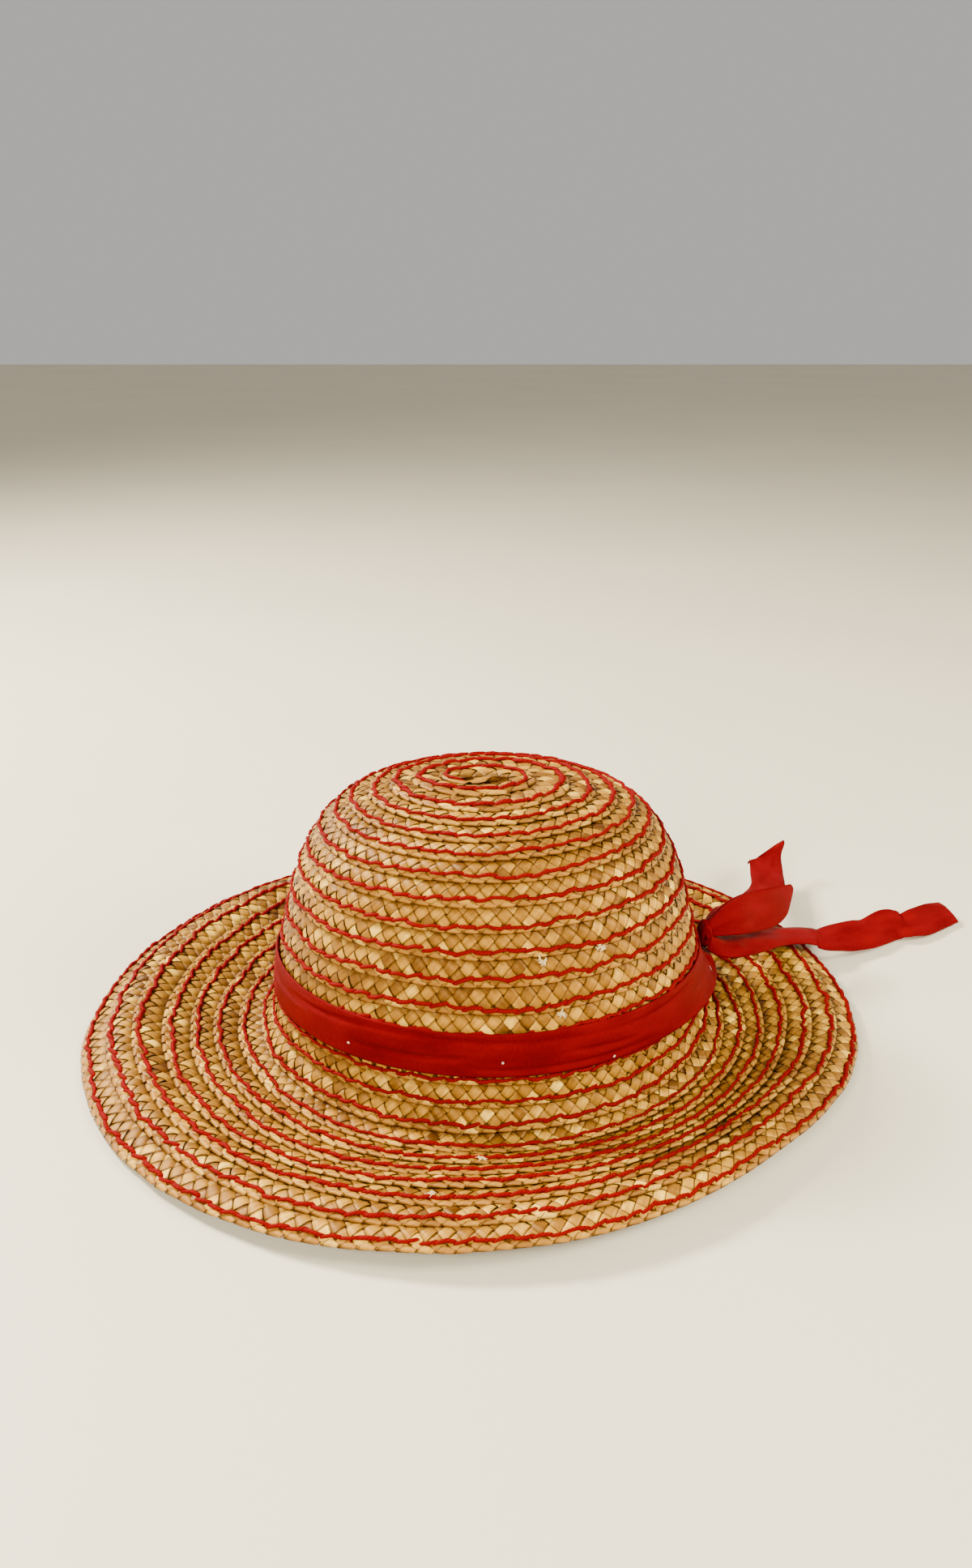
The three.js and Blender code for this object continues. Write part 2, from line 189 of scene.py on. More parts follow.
def build_mesh(name, verts, faces, material, uv, floats=None, sharp_class=None):
    """A smooth mesh object from arrays; sharp_class marks vertices whose common edges stay sharp."""
    mesh = bpy.data.meshes.new(name)
    mesh.vertices.add(len(verts))
    mesh.vertices.foreach_set("co", np.ascontiguousarray(verts, dtype=np.float32).ravel())
    sizes = np.concatenate([np.full(len(f), f.shape[1]) for f in faces if len(f)])
    loops = np.concatenate([f.ravel() for f in faces if len(f)]).astype(np.int32)
    mesh.loops.add(len(loops))
    mesh.loops.foreach_set("vertex_index", loops)
    mesh.polygons.add(len(sizes))
    mesh.polygons.foreach_set("loop_start", np.concatenate([[0], np.cumsum(sizes)[:-1]]).astype(np.int32))
    mesh.polygons.foreach_set("use_smooth", np.full(len(sizes), True, dtype=bool))
    mesh.update(calc_edges=True)
    layer = mesh.uv_layers.new(name="strand")
    layer.data.foreach_set("uv", np.ascontiguousarray(uv[loops], dtype=np.float32).ravel())
    for key, values in (floats or {}).items():
        layer = mesh.attributes.new(key, "FLOAT", "POINT")
        layer.data.foreach_set("value", np.ascontiguousarray(values, dtype=np.float32))
    if sharp_class is not None:
        ends = np.empty(len(mesh.edges) * 2, dtype=np.int32)
        mesh.edges.foreach_get("vertices", ends)
        ends = ends.reshape(-1, 2)
        kinds = sharp_class[ends]
        sharp = (kinds[:, 0] > 0) & (kinds[:, 0] == kinds[:, 1])
        layer = mesh.attributes.new("sharp_edge", "BOOLEAN", "EDGE")
        layer.data.foreach_set("value", sharp)
    piece = bpy.data.objects.new(name, mesh)
    bpy.context.collection.objects.link(piece)
    mesh.materials.append(material)
    return piece


def declare(piece, node):
    """The piece rides on the hat and stands for a node, whose CAD part is hidden."""
    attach(piece, "root")
    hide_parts(node)


def tube_faces(stations, sides, first=0):
    """Quads of a tube whose rings follow each other, and its two end caps."""
    i = np.arange(stations - 1)[:, None] * sides
    k = np.arange(sides)[None, :]
    n = (k + 1) % sides
    quads = np.stack([i + k, i + n, i + sides + n, i + sides + k], 2).reshape(-1, 4) + first
    start = np.arange(sides)[::-1][None, :] + first
    end = (stations - 1) * sides + np.arange(sides)[None, :] + first
    return quads, np.concatenate([start, end])


def smooth_noise(rng, count, step):
    """A function of one number that wanders smoothly between about -1 and 1."""
    values = rng.uniform(-1, 1, count)

    def at(x):
        x = np.asarray(x, float) / step
        i = np.floor(x).astype(int)
        s = x - i
        s = s * s * (3 - 2 * s)
        return values[i % count] * (1 - s) + values[(i + 1) % count] * s

    return at


def node_tree(name):
    """A material with one principled shader, its nodes and that shader."""
    material = bpy.data.materials.new(name)
    material.use_nodes = True
    tree = material.node_tree
    tree.nodes.clear()
    output = tree.nodes.new("ShaderNodeOutputMaterial")
    shader = tree.nodes.new("ShaderNodeBsdfPrincipled")
    tree.links.new(shader.outputs["BSDF"], output.inputs["Surface"])
    return material, tree, shader


def add(tree, kind, inputs=None, **settings):
    """A node with settings; inputs maps socket names or numbers to values or to other sockets."""
    node = tree.nodes.new(kind)
    for key, value in settings.items():
        setattr(node, key, value)
    for key, value in (inputs or {}).items():
        if isinstance(value, bpy.types.NodeSocket):
            tree.links.new(value, node.inputs[key])
        else:
            node.inputs[key].default_value = value
    return node


def ramp(tree, factor, stops):
    """A colour that runs through stops of position and colour."""
    node = add(tree, "ShaderNodeValToRGB", {"Fac": factor})
    elements = node.color_ramp.elements
    while len(elements) < len(stops):
        elements.new(0.5)
    for element, (position, colour) in zip(elements, stops):
        element.position = position
        element.color = (*colour, 1.0)
    return node.outputs["Color"]


def math_node(tree, operation, *values, clamp=False):
    """The result of a sum on sockets and numbers."""
    inputs = dict(enumerate(values))
    return add(tree, "ShaderNodeMath", inputs, operation=operation, use_clamp=clamp).outputs[0]


def mix(tree, factor, colour, other):
    """One colour turned into another, which is the same all over."""
    return add(tree, "ShaderNodeMixRGB", {
        "Fac": factor, "Color1": colour, "Color2": (*other, 1.0)}).outputs[0]


def attribute(tree, name):
    return add(tree, "ShaderNodeAttribute", attribute_name=name).outputs["Fac"]


def strand_uv(tree):
    return add(tree, "ShaderNodeUVMap", uv_map="strand").outputs["UV"]


def relief(tree, shader, strength, distance, height):
    """Fine relief of the surface, its distance in metres."""
    bump = add(tree, "ShaderNodeBump", {"Strength": strength, "Distance": distance, "Height": height})
    tree.links.new(bump.outputs["Normal"], shader.inputs["Normal"])


def stretched_noise(tree, uv, scale_along, scale_across, detail=2.0):
    """Noise with its own scale along the strand and across it."""
    mapping = add(tree, "ShaderNodeMapping", {"Vector": uv, "Scale": (scale_along, scale_across, 1.0)})
    noise = add(tree, "ShaderNodeTexNoise", {"Vector": mapping.outputs[0], "Scale": 1.0, "Detail": detail})
    return noise.outputs["Fac"]


def straw_material():
    """Straw: each strand's tone, fibres along it, and painted shade where it dips or lies under the next
    row and along the gaps at each strand's edges.
    """
    material, tree, shader = node_tree("straw")
    uv = strand_uv(tree)
    fibre = stretched_noise(tree, uv, 0.12, 5.5, 3.0)
    blotch = stretched_noise(tree, uv, 0.13, 0.35, 2.0)
    grain = math_node(tree, "MULTIPLY_ADD", fibre, 0.5, -0.25)
    patch = math_node(tree, "MULTIPLY_ADD", blotch, 0.6, -0.3)
    toned = math_node(tree, "ADD", attribute(tree, "tone"), grain)
    shade = math_node(tree, "ADD", toned, patch, clamp=True)
    colour = ramp(tree, shade, [
        (0.0, (0.065, 0.019, 0.001)), (0.25, (0.155, 0.058, 0.003)), (0.5, (0.285, 0.12, 0.0065)),
        (0.75, (0.48, 0.228, 0.015)), (1.0, (0.88, 0.52, 0.06))])
    folded_over = math_node(tree, "MULTIPLY", attribute(tree, "edge"), 0.5)
    rolled = mix(tree, folded_over, colour, (0.32, 0.128, 0.018))
    # Painted shade in the gaps: near each strand's edges the straw is darkened, standing in for the shade
    # between strands.
    gap_shade = add(tree, "ShaderNodeMapRange", {
        "Value": attribute(tree, "side"), "From Min": 0.72, "From Max": 1.0, "To Min": 0.0, "To Max": 0.95},
        interpolation_type="SMOOTHSTEP").outputs["Result"]
    # Painted shade: the crease mask and the strand-edge mask darken the straw towards near black.
    dark = math_node(tree, "MAXIMUM", attribute(tree, "crease_shade"), gap_shade)
    shaded_straw = mix(tree, dark, rolled, (0.045, 0.011, 0.001))
    tree.links.new(shaded_straw, shader.inputs["Base Color"])
    rough = math_node(tree, "MULTIPLY_ADD", fibre, 0.3, 0.24)
    tree.links.new(rough, shader.inputs["Roughness"])
    shader.inputs["Specular IOR Level"].default_value = 0.6
    shader.inputs["Specular Tint"].default_value = (1.0, 0.5, 0.12, 1.0)
    relief(tree, shader, 0.55, 0.0002, fibre)
    return material


def ribbon_material():
    """Red ribbed cloth with fine ribs across the ribbon."""
    material, tree, shader = node_tree("ribbon")
    uv = strand_uv(tree)
    ribs = add(tree, "ShaderNodeTexWave", {
        "Vector": uv, "Scale": 0.48, "Distortion": 0.6, "Detail": 1.0, "Detail Scale": 0.3},
        bands_direction="X").outputs["Fac"]
    cloud = stretched_noise(tree, uv, 0.05, 0.16, 3.0)
    thread = stretched_noise(tree, uv, 2.4, 0.5, 2.0)
    mixed = math_node(tree, "MULTIPLY_ADD", cloud, 0.7, math_node(tree, "MULTIPLY", thread, 0.3))
    colour = ramp(tree, mixed, [
        (0.3, (0.085, 0.0, 0.0008)), (0.5, (0.122, 0.0, 0.0011)), (0.7, (0.16, 0.0, 0.0015))])
    tree.links.new(colour, shader.inputs["Base Color"])
    shader.inputs["Roughness"].default_value = 0.58
    shader.inputs["Specular IOR Level"].default_value = 0.1
    shader.inputs["Specular Tint"].default_value = (1.0, 0.0, 0.0, 1.0)
    relief(tree, shader, 0.6, 0.00014, math_node(tree, "MULTIPLY_ADD", thread, 0.8, ribs))
    return material


def thread_material(name, dark, light, gloss):
    """Twisted fibre between a dark and a light colour."""
    material, tree, shader = node_tree(name)
    uv = strand_uv(tree)
    ply = add(tree, "ShaderNodeTexWave", {"Vector": uv, "Scale": 0.45, "Distortion": 1.0, "Detail": 1.0},
              bands_direction="DIAGONAL").outputs["Fac"]
    fuzz = stretched_noise(tree, uv, 1.6, 1.6, 3.0)
    mixed = math_node(tree, "MULTIPLY_ADD", ply, 0.4, math_node(tree, "MULTIPLY", fuzz, 0.6))
    tree.links.new(ramp(tree, mixed, [(0.25, dark), (0.7, light)]), shader.inputs["Base Color"])
    shader.inputs["Roughness"].default_value = 0.6
    shader.inputs["Specular IOR Level"].default_value = 0.12
    shader.inputs["Specular Tint"].default_value = (*gloss, 1.0)
    relief(tree, shader, 0.5, 0.00015, mixed)
    return material


STRAW = straw_material()
RIBBON = ribbon_material()
THREAD = thread_material("thread_red", (0.09, 0.0001, 0.0001), (0.2, 0.0002, 0.0002), (1.0, 0.0, 0.0))
PALE_STRAW = thread_material("straw_pale", (0.4, 0.25, 0.08), (0.75, 0.55, 0.25), (1.0, 0.8, 0.5))
PALE_THREAD = thread_material("thread_pale", (0.5, 0.3, 0.2), (0.8, 0.6, 0.42), (1.0, 0.9, 0.7))

# The braid: a flat plait of strands that run from edge to edge, folded over at each edge.
STRANDS = 4
# Full width with the part under the next row, and the lane of one strand.
BRAID_WIDTH = 15.0
LANE = BRAID_WIDTH / STRANDS
# Length along the braid in which a strand crosses two lanes.
PITCH = 6.2
ROWS_WIDE = 1.5
START_ROW = 0.5
# The small slit left open at the tip, in rows.
HOLE_ROW = 0.3
HOLE_SLIT = 0.4
# How high a strand rides over its neighbours, and the section of one strand.
OVER = 0.54
EDGE_LIFT = -0.1
TOP_BULGE = 0.16
BOTTOM_BULGE = -0.16
# Height across the braid: share of its width, millimetres over the hat's surface.
PROFILE = np.array([
    [0.0, -2.0], [0.2, -1.7], [0.3, -1.35], [0.37, -0.95], [0.46, -0.35], [0.58, 0.0], [0.68, 0.02],
    [0.785, -0.2], [0.87, 0.16], [0.95, 0.05], [1.0, -0.3]])
# Rows near the rim lie a little further apart.
RIM_SPREAD = 0.14
# The coil at the tip is stretched sideways and lies to the left of the crown's axis, in millimetres.
TIP_ROWS = 3.2
TIP_STRETCH = 6.0
TIP_SHIFT = -4.0
# Where the stations of a strand lie across the braid, in lanes, and how high it rides there.
STATION_TAU = np.array([
    0, 0.18, 0.42, 0.58, 0.85, 1.15, 1.42, 1.58, 1.85, 2.15, 2.42, 2.58, 2.85, 3.15, 3.42, 3.58, 3.82])
STATION_RISE = np.array([
    0, 0.6, 0.85, -0.7, -1, -1, -0.7, 0.7, 1, 1, 0.7, -0.7, -1, -1, -0.7, 0.85, 0.6])

RHO = np.linspace(START_ROW, END_ROW + 0.1, 12000)
# The braid's end narrows over its last part of a row.
END_TAPER = 0.25
END_NARROW = 0.81


def braid_line():
    """Length along the braid for the row count, in millimetres."""
    middle = on_surface(np.maximum(RHO - 0.55, 0.1), FRONT - 360 * RHO, np.zeros(len(RHO))) / MM
    steps = np.linalg.norm(np.diff(middle, axis=0), axis=1)
    return np.concatenate([[0], np.cumsum(steps)])


BRAID_LENGTH = braid_line()
edge_rng = np.random.default_rng(11)
edge_slow = smooth_noise(edge_rng, 997, 38.0)
edge_quick = smooth_noise(edge_rng, 1999, 11.0)
lift_slow = smooth_noise(edge_rng, 991, 27.0)


def on_braid(s, v, w):
    """World points for a place along the braid, a place across it and a height over its middle."""
    rho = np.interp(s, BRAID_LENGTH, RHO)
    share = v / BRAID_WIDTH
    end = np.clip((rho - (END_ROW - END_TAPER)) / END_TAPER, 0, 1)
    narrow = end * end * (3 - 2 * end) * END_NARROW
    wander = (0.06 * edge_slow(s) + 0.03 * edge_quick(s)) * share
    spread = RIM_SPREAD * np.clip((rho - 21.5) / 2.0, 0, 1) * share
    row = rho - ROWS_WIDE + (ROWS_WIDE - narrow) * share + wander + spread
    lift = np.interp(share, PROFILE[:, 0], PROFILE[:, 1]) + w + 0.2 * lift_slow(s) * share
    azimuth = FRONT - 360 * rho
    sideways = np.cos(np.radians(azimuth))
    hole = HOLE_ROW + HOLE_SLIT * sideways ** 4
    point = on_surface(np.maximum(row, hole), azimuth, lift)
    point[..., 0] += MM * np.exp(-(rho / TIP_ROWS) ** 2) * (TIP_STRETCH * sideways + TIP_SHIFT)
    return point


def strand_nodes(seed, count):
    """Random values at the folds of one strand."""
    rng = np.random.default_rng(seed)
    tone = rng.normal(0, 0.2, count)
    tone = tone + np.repeat(rng.normal(0, 0.12, count // 5 + 2), 5)[:count]
    return {
        "tone": tone,
        "width": rng.uniform(0.88, 1.0, count),
        "shift": rng.uniform(-0.05, 0.05, count),
        "tilt": rng.uniform(-0.26, 0.26, count),
        "rise": rng.uniform(-0.16, 0.16, count),
        "middle": rng.uniform(-0.16, 0.16, count),
    }


HALF_COUNT = int(BRAID_LENGTH[-1] / (2 * PITCH)) + 20
STRAND_VALUES = [strand_nodes(100 + i, HALF_COUNT) for i in range(STRANDS)]


def braid_piece(name, row_from, row_to, node):
    """The stretch of plaited strands between two row counts."""
    s_from, s_to = np.interp([row_from, row_to], RHO, BRAID_LENGTH)
    verts, quads, caps, uvs, tones, edges, crease_shades, sides, kinds = ([] for _ in range(9))
    first = 0
    for i in range(STRANDS):
        k0 = max(math.ceil((s_from / PITCH - i) / 2), 0)
        k1 = math.ceil((s_to / PITCH - i) / 2)
        k = np.repeat(np.arange(k0, k1), len(STATION_TAU))
        tau = np.tile(STATION_TAU, k1 - k0)
        rise = np.tile(STATION_RISE, k1 - k0)
        slash = np.where(k % 2 == 0, 1.0, -1.0)
        blend = tau / STRANDS

        def value(key):
            nodes = STRAND_VALUES[i][key]
            return nodes[k] * (1 - blend) + nodes[k + 1] * blend

        s_mid = (2 * k + i) * PITCH + tau * PITCH / 2
        v_mid = np.where(slash > 0, tau * LANE, BRAID_WIDTH - tau * LANE)
        turn = np.minimum(1, np.minimum(tau, STRANDS - tau))
        height = OVER * rise * slash + value("rise") * (turn > 0.5)
        width = value("width")
        rings = []
        for c, bulge in ((-0.5, EDGE_LIFT), (0.0, TOP_BULGE), (0.5, EDGE_LIFT), (0.0, BOTTOM_BULGE)):
            place = c * width + value("shift") + (value("middle") if c == 0 else 0)
            place = np.clip(place, -0.5, 0.5)
            s = s_mid + place * PITCH * (1 - turn / 2)
            v = v_mid - slash * place * LANE * turn
            w = height + bulge + value("tilt") * 2 * place
            rings.append((s, v, w, place))
        s, v, w, place = (np.stack([r[q] for r in rings], 1) for q in range(4))
        # Edge and under vertices are marked 1 and the top 0, for the painted shade along each strand's
        # sides.
        sides.append(np.tile([1.0, 0.0, 1.0, 1.0], len(k)))
        verts.append(on_braid(s, v, w).reshape(-1, 3))
        stations = len(k)
        q, cap = tube_faces(stations, 4, first)
        quads.append(q)
        caps.append(cap)
        along = (k * STRANDS + tau) * math.hypot(PITCH / 2, LANE)
        uvs.append(np.stack([np.repeat(along, 4), (place * PITCH + 41.0 * i).ravel()], 1))
        tones.append(np.repeat(0.52 + value("tone"), 4))
        edges.append(np.clip((v / BRAID_WIDTH - 0.84) / 0.06, 0, 1).ravel())
        # Painted shade in the crease: strands are marked darker towards the braid's inner edge, where it
        # dips under the neighbouring row.
        crease_shades.append(np.clip((0.46 - v / BRAID_WIDTH) / 0.12, 0, 1).ravel() * 0.85)
        kinds.append(np.tile([1, 0, 2, 0], stations))
        first += stations * 4
    piece = build_mesh(
        name, np.concatenate(verts), [np.concatenate(quads), np.concatenate(caps)], STRAW,
        np.concatenate(uvs), sharp_class=np.concatenate(kinds),
        floats={"tone": np.concatenate(tones), "edge": np.concatenate(edges),
                "crease_shade": np.concatenate(crease_shades), "side": np.concatenate(sides)})
    declare(piece, node)


BRAID_PIECES = [
    ("braid_crown_top", START_ROW, 9.2, "crown"),
    ("braid_crown_side", 9.2, SEAM_ROW, "crown"),
    ("braid_brim_inner", SEAM_ROW, 18.0, "brim"),
    ("braid_brim_middle", 18.0, 21.4, "brim"),
    ("braid_brim_rim", 21.4, END_ROW, "brim"),
]
for name, row_from, row_to, node in BRAID_PIECES:
    braid_piece(name, row_from, row_to, node)

# The sewing thread runs along each row a little inside its outer edge.
SCALLOP_LENGTH = 9.8
THREAD_SHARE = 0.787
THREAD_RADIUS = 0.78
THREAD_SIDES = 6
stitch_rng = np.random.default_rng(5)
thread_wave = smooth_noise(stitch_rng, 1009, 10.0)
thread_drift = smooth_noise(stitch_rng, 499, 47.0)


def stitch_piece(name, row_from, row_to, node, face):
    """Stitches between two row counts, on the upper face or on the under face."""
    s_from, s_to = np.interp([row_from, row_to], RHO, BRAID_LENGTH)
    rng = np.random.default_rng(int(row_from * 10) + (0 if face > 0 else 7))
    starts = np.arange(s_from, s_to, PITCH)
    count = len(starts)
    if face > 0:
        reach, skew, sides = 1.22, 0.42, THREAD_SIDES
        along = np.array([0.0, 0.14, 0.5, 0.86, 1.0])
        rise = np.array([0.15, 0.85, 1.05, 0.85, 0.15])
        thick = np.array([0.75, 1.0, 1.05, 1.0, 0.7])
    else:
        reach, skew, sides = 0.5, 0.1, 4
        along = np.array([0.0, 0.5, 1.0])
        rise = np.array([-0.1, 0.35, -0.1])
        thick = np.array([0.6, 0.9, 0.6])
    stations = len(along)
    jitter = rng.normal(0, 1, (5, count, 1))
    s = starts[:, None] + PITCH * reach * (1 + 0.06 * jitter[0]) * (along - 0.1)
    scallop = np.sin(2 * math.pi * s / SCALLOP_LENGTH + 3.0 * thread_drift(s))
    middle = THREAD_SHARE * BRAID_WIDTH + 0.45 * scallop + 0.8 * thread_wave(s) + 0.5 * thread_drift(s)
    v = middle + skew * (along - 0.5) * 2 * (1 + 0.35 * jitter[1]) + 0.12 * jitter[2]
    radius = THREAD_RADIUS * thick * (1 + 0.07 * jitter[3])
    w = rise + 0.07 * jitter[4]
    theta = np.arange(sides) * 2 * math.pi / sides
    s_ring = np.repeat(s[..., None], sides, 2)
    v_ring = v[..., None] + radius[..., None] * np.cos(theta)
    w_ring = face * (w[..., None]) + radius[..., None] * np.sin(theta)
    verts = on_braid(s_ring, v_ring, w_ring).reshape(-1, 3)
    quads, caps = tube_faces(stations, sides)
    offsets = (np.arange(count) * stations * sides)[:, None, None]
    quads = (quads[None] + offsets).reshape(-1, 4)
    caps = (caps[None] + offsets).reshape(-1, sides)
    uv = np.stack([s_ring.ravel(), np.tile(theta * THREAD_RADIUS, count * stations)], 1)
    piece = build_mesh(name, verts, [quads, caps], THREAD, uv)
    declare(piece, node)


stitch_piece("thread_crown", 1.1, SEAM_ROW, "crown", 1)
stitch_piece("thread_brim", SEAM_ROW, END_ROW, "brim", 1)
stitch_piece("thread_crown_under", 1.2, SEAM_ROW, "crown", -1)
stitch_piece("thread_brim_under", SEAM_ROW, END_ROW, "brim", -1)

# The ribbon's cloth, in millimetres.
RIBBON_THICK = 0.6
ribbon_rng = np.random.default_rng(23)


def sheet_body(name, grid_outer, grid_inner, closed, uv_grid, node):
    """A closed body of cloth from its two faces, as grids of points (along, across)."""
    n, m = grid_outer.shape[:2]
    ring = np.concatenate([grid_outer, grid_inner[:, ::-1]], 1)
    uv_ring = np.concatenate([uv_grid, uv_grid[:, ::-1]], 1)
    sides = 2 * m
    if closed:
        i = np.arange(n)[:, None]
        k = np.arange(sides)[None, :]
        nxt = ((i + 1) % n) * sides
        quads = np.stack([i * sides + k, i * sides + (k + 1) % sides, nxt + (k + 1) % sides, nxt + k], 2)
        faces = [quads.reshape(-1, 4)]
    else:
        quads = tube_faces(n, sides)[0]
        k = np.arange(m - 1)
        ends = []
        for base, flip in ((0, True), ((n - 1) * sides, False)):
            q = np.stack([base + k, base + k + 1, base + sides - 2 - k, base + sides - 1 - k], 1)
            ends.append(q[:, ::-1] if flip else q)
        faces = [quads, np.concatenate(ends)]
    piece = build_mesh(name, ring.reshape(-1, 3), faces, RIBBON, uv_ring.reshape(-1, 2))
    declare(piece, node)


def ribbon_band():
    """The band round the foot of the crown, with faint creases along it and a soft edge."""
    around = 640
    across = 24
    height = on_surface([RIBBON_TOP_ROW], [FRONT], [0])[0, 2] - on_surface([FOOT_ROW], [FRONT], [0])[0, 2]
    rows_per_mm = (FOOT_ROW - RIBBON_TOP_ROW) / (height / MM)
    angle = np.arange(around) * 360.0 / around
    t = np.linspace(0, 1, across)
    edge = smooth_noise(ribbon_rng, 997, 21.0)
    creases = [(smooth_noise(ribbon_rng, 97, 23.0), smooth_noise(ribbon_rng, 97, 31.0), place)
               for place in (0.22, 0.42, 0.6, 0.78)]
    away = np.abs((angle - KNOT_ANGLE + 180) % 360 - 180)
    pulled = np.where(away < BAND_FLARE_SPREAD, np.cos(math.pi / 2 * away / BAND_FLARE_SPREAD) ** 2, 0)
    row = RIBBON_TOP_ROW + RIBBON_WIDTH * rows_per_mm * t[None, :] + 0.025 * edge(angle)[:, None]
    lift = RIBBON_LIFT + 0.3 * np.sin(math.pi * t)[None, :] + np.zeros((around, across))
    for depth, drift, place in creases:
        valley = np.exp(-((t[None, :] - place - 0.12 * drift(angle)[:, None]) / 0.055) ** 2)
        lift -= 1.1 * np.clip(depth(angle) + 0.3, 0, 1)[:, None] * valley
    lift = np.maximum(lift, RIBBON_LIFT - 1.0)
    angles = np.repeat(angle[:, None], across, 1)
    turn = np.radians(angles)
    flare = BAND_FLARE * pulled[:, None] * t[None, :] ** 3 * MM
    push = np.stack([np.cos(turn) * flare, np.sin(turn) * flare, np.zeros_like(flare)], 2)
    outer = on_surface(row, angles, lift + RIBBON_THICK) + push
    inner = on_surface(row, angles, lift) + push
    length = math.pi * (CROWN_WIDTH + CROWN_DEPTH) / 2 + 8
    uv = np.stack(np.broadcast_arrays(angle[:, None] / 360 * length, t[None, :] * RIBBON_WIDTH), 2)
    sheet_body(
        "ribbon_band_cloth", outer[:, ::-1], inner[:, ::-1], True, uv[:, ::-1], "ribbon_band")


ribbon_band()

# Paths of the ribbon's ends from the crown's axis: right, back, up, roll in degrees, share of the width.
LOWER_TAIL = np.array([
    [96.8, 11.9, 31.6, 60, 0.5], [104.9, 15.3, 26.4, 36, 0.66], [115.9, 23.8, 22.5, 16, 0.82],
    [131.4, 38.9, 17.8, 5, 0.95], [144.8, 46.3, 14.8, 1, 0.98], [153.6, 48.5, 12.9, 1, 0.95],
    [159.7, 48.8, 11.0, 8, 0.97], [168.0, 53.2, 9.6, 20, 1.0], [179.1, 57.8, 8.6, 29, 1.0],
    [186.9, 61.4, 8.2, 24, 0.98], [197.1, 68.7, 8.2, 33, 1.0], [202.6, 70.7, 7.6, 30, 0.95],
    [207.5, 71.6, 6.4, 15, 0.92], [215.4, 75.0, 6.6, 26, 0.98], [225.2, 82.1, 6.0, 22, 0.96],
    [234.6, 88.5, 4.8, 14, 0.9]])
UPPER_TAIL = np.array([
    [97.6, 16.6, 34.2, 45, 0.42], [105.5, 30.8, 33.0, 30, 0.55], [115.7, 43.9, 28.5, 14, 0.85],
    [126.3, 60.6, 23.0, 5, 0.97], [135.5, 76.6, 19.6, 2, 1.0], [142.3, 92.1, 17.6, 0, 1.0],
    [145.6, 110.0, 16.6, 2, 1.0], [148.2, 125.4, 17.2, 8, 1.0], [149.8, 130.7, 19.0, 14, 0.95]])
LOOP = np.array([
    [97.4, 14.4, 35.6, 60, 0.4], [109.6, 20.1, 38.2, 62, 0.9], [119.3, 28.1, 37.0, 62, 1.04],
    [130.2, 36.6, 35.1, 61, 1.04], [140.8, 46.0, 32.8, 60, 0.94]])


def path_frames(path, pieces):
    """Points, directions across, normals, half widths and lengths along a smoothed path."""
    steps = np.arange(len(path), dtype=float)
    at = np.linspace(0, len(path) - 1, (len(path) - 1) * pieces + 1)
    table = through(steps, path, at)
    point = table[:, :3]
    along = np.gradient(point, axis=0)
    along /= np.linalg.norm(along, axis=1, keepdims=True)
    flat = np.cross(along, np.array([0.0, 0.0, 1.0]))
    flat /= np.linalg.norm(flat, axis=1, keepdims=True)
    roll = np.radians(table[:, 3:4])
    across = flat * np.cos(roll) + np.cross(along, flat) * np.sin(roll)
    normal = np.cross(across, along)
    half = table[:, 4] * RIBBON_WIDTH / 2
    length = np.concatenate([[0], np.cumsum(np.linalg.norm(np.diff(point, axis=0), axis=1))])
    return point, across, normal, half, length


# Places across a ribbon's end, from edge to edge.
ACROSS = np.linspace(-1, 1, 15)
STRIP_CUP = 0.9
STRIP_RIPPLE = 0.5


def ripples(seed, run, step):
    """Soft folds between about -1 and 1, by length along the ribbon and place across it."""
    rng = np.random.default_rng(seed)
    folds = [smooth_noise(rng, 61, step) for _ in range(5)]
    values = np.stack([f(run) for f in folds], 1)
    return np.stack([np.interp(ACROSS, np.linspace(-1, 1, 5), row) for row in values])


def ribbon_sheet(name, grid, facing, run, node):
    """The cloth of a ribbon's end: its two faces on both sides of a grid of middle points."""
    outer = (grid + facing[:, None] * RIBBON_THICK / 2 + AXIS) * MM
    inner = (grid - facing[:, None] * RIBBON_THICK / 2 + AXIS) * MM
    uv = np.stack(np.broadcast_arrays(run[:, None], ACROSS[None, :] * RIBBON_WIDTH / 2), 2)
    sheet_body(name, outer, inner, False, uv, node)


def ribbon_strip(name, path, node, seed, cut):
    """One end of the ribbon, cupped across and rippled along, its end cut at a slant."""
    point, across, normal, half, length = path_frames(path, 24)
    squeeze = 1 - np.clip(half / (RIBBON_WIDTH / 2), 0, 1)
    cup = STRIP_CUP * (1 - ACROSS[None, :] ** 2) * (1 + 2.0 * squeeze[:, None])
    offset = cup + STRIP_RIPPLE * ripples(seed, length, 9.0)
    slant = cut * ACROSS[None, :] * (np.linspace(0, 1, len(point))[:, None] ** 6)
    along = np.gradient(point, axis=0)
    along /= np.linalg.norm(along, axis=1, keepdims=True)
    grid = (point[:, None] + across[:, None] * (half[:, None] * ACROSS)[..., None]
            + normal[:, None] * offset[..., None] + along[:, None] * slant[..., None])
    ribbon_sheet(name, grid, normal, length, node)


ribbon_strip("ribbon_tail_lower_cloth", LOWER_TAIL, "ribbon_tail_lower", 3, -1.4)
ribbon_strip("ribbon_tail_upper_cloth", UPPER_TAIL, "ribbon_tail_upper", 4, 13.0)

# How far the loop's tip leans to one edge, in millimetres.
LOOP_LEAN = 8.0


